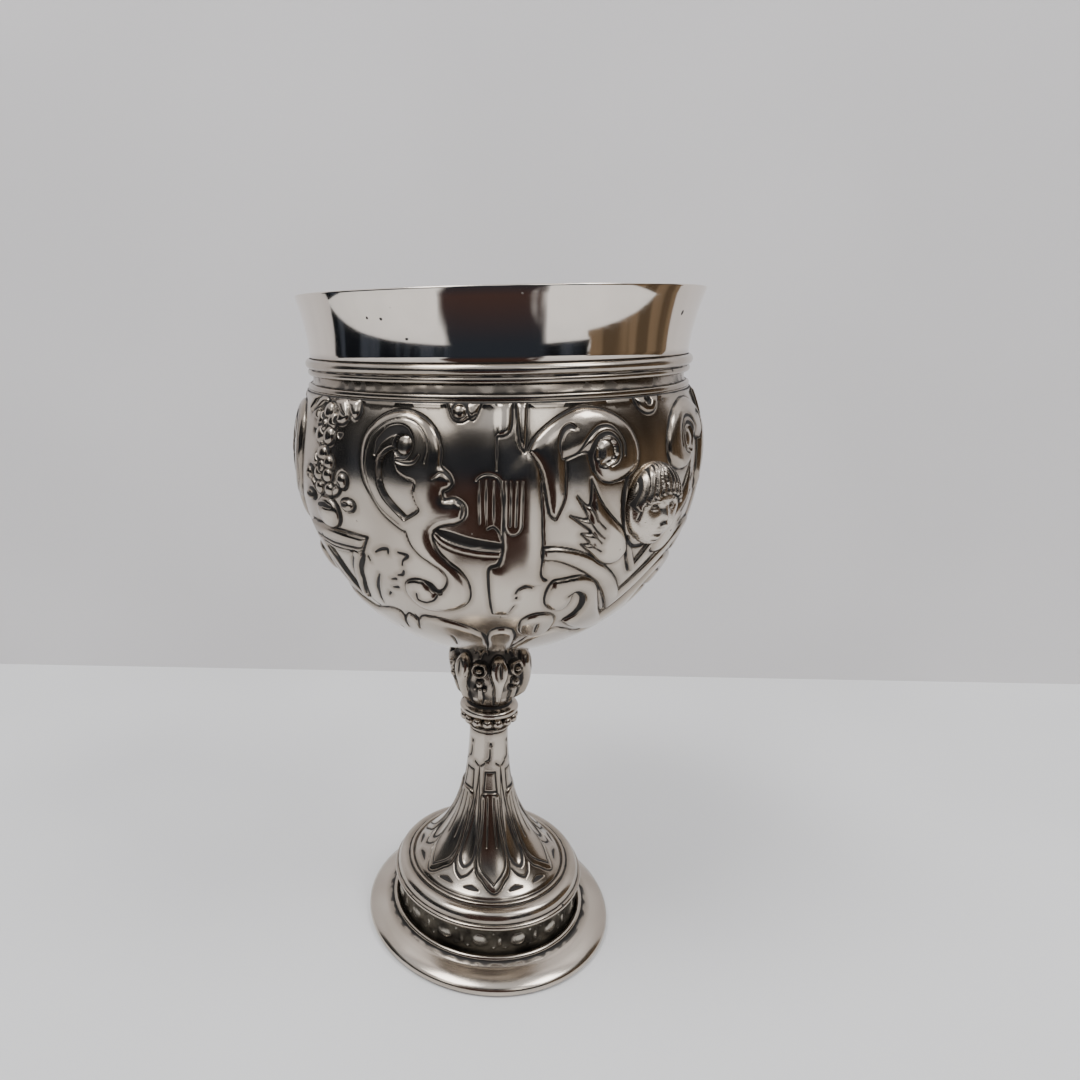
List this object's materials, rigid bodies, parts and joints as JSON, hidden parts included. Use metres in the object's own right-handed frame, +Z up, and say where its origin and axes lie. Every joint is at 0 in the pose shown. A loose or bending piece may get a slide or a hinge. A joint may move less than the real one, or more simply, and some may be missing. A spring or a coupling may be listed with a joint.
{
  "type": "silver goblet",
  "caption": "Chased silver goblet: a round bowl with scrollwork, masks and a flared lip, on a knop, a beaded collar, a trumpet stem and a stepped foot.",
  "frame": {"origin": "middle of the foot ring's underside, level with the table", "axes": "+Z up along the goblet's axis, -Y the side that the picture shows, turned by ten degrees"},
  "size_m": [0.0926, 0.0926, 0.1617],
  "materials": {
    "chased_silver": "polished silver, dark tarnish in the chased lines",
    "polished_silver": "polished silver, lightly worn",
    "cast_silver": "cast silver, dark in the recesses",
    "dark_silver": "tarnished silver, pale on the raised pattern"
  },
  "bodies": {
    "root": {"bowl": "chased_silver", "neck_moulding": "polished_silver", "knop": "cast_silver", "beaded_collar": "cast_silver", "stem": "chased_silver", "frieze_band": "dark_silver", "base_ring": "polished_silver"}
  },
  "joints": []
}
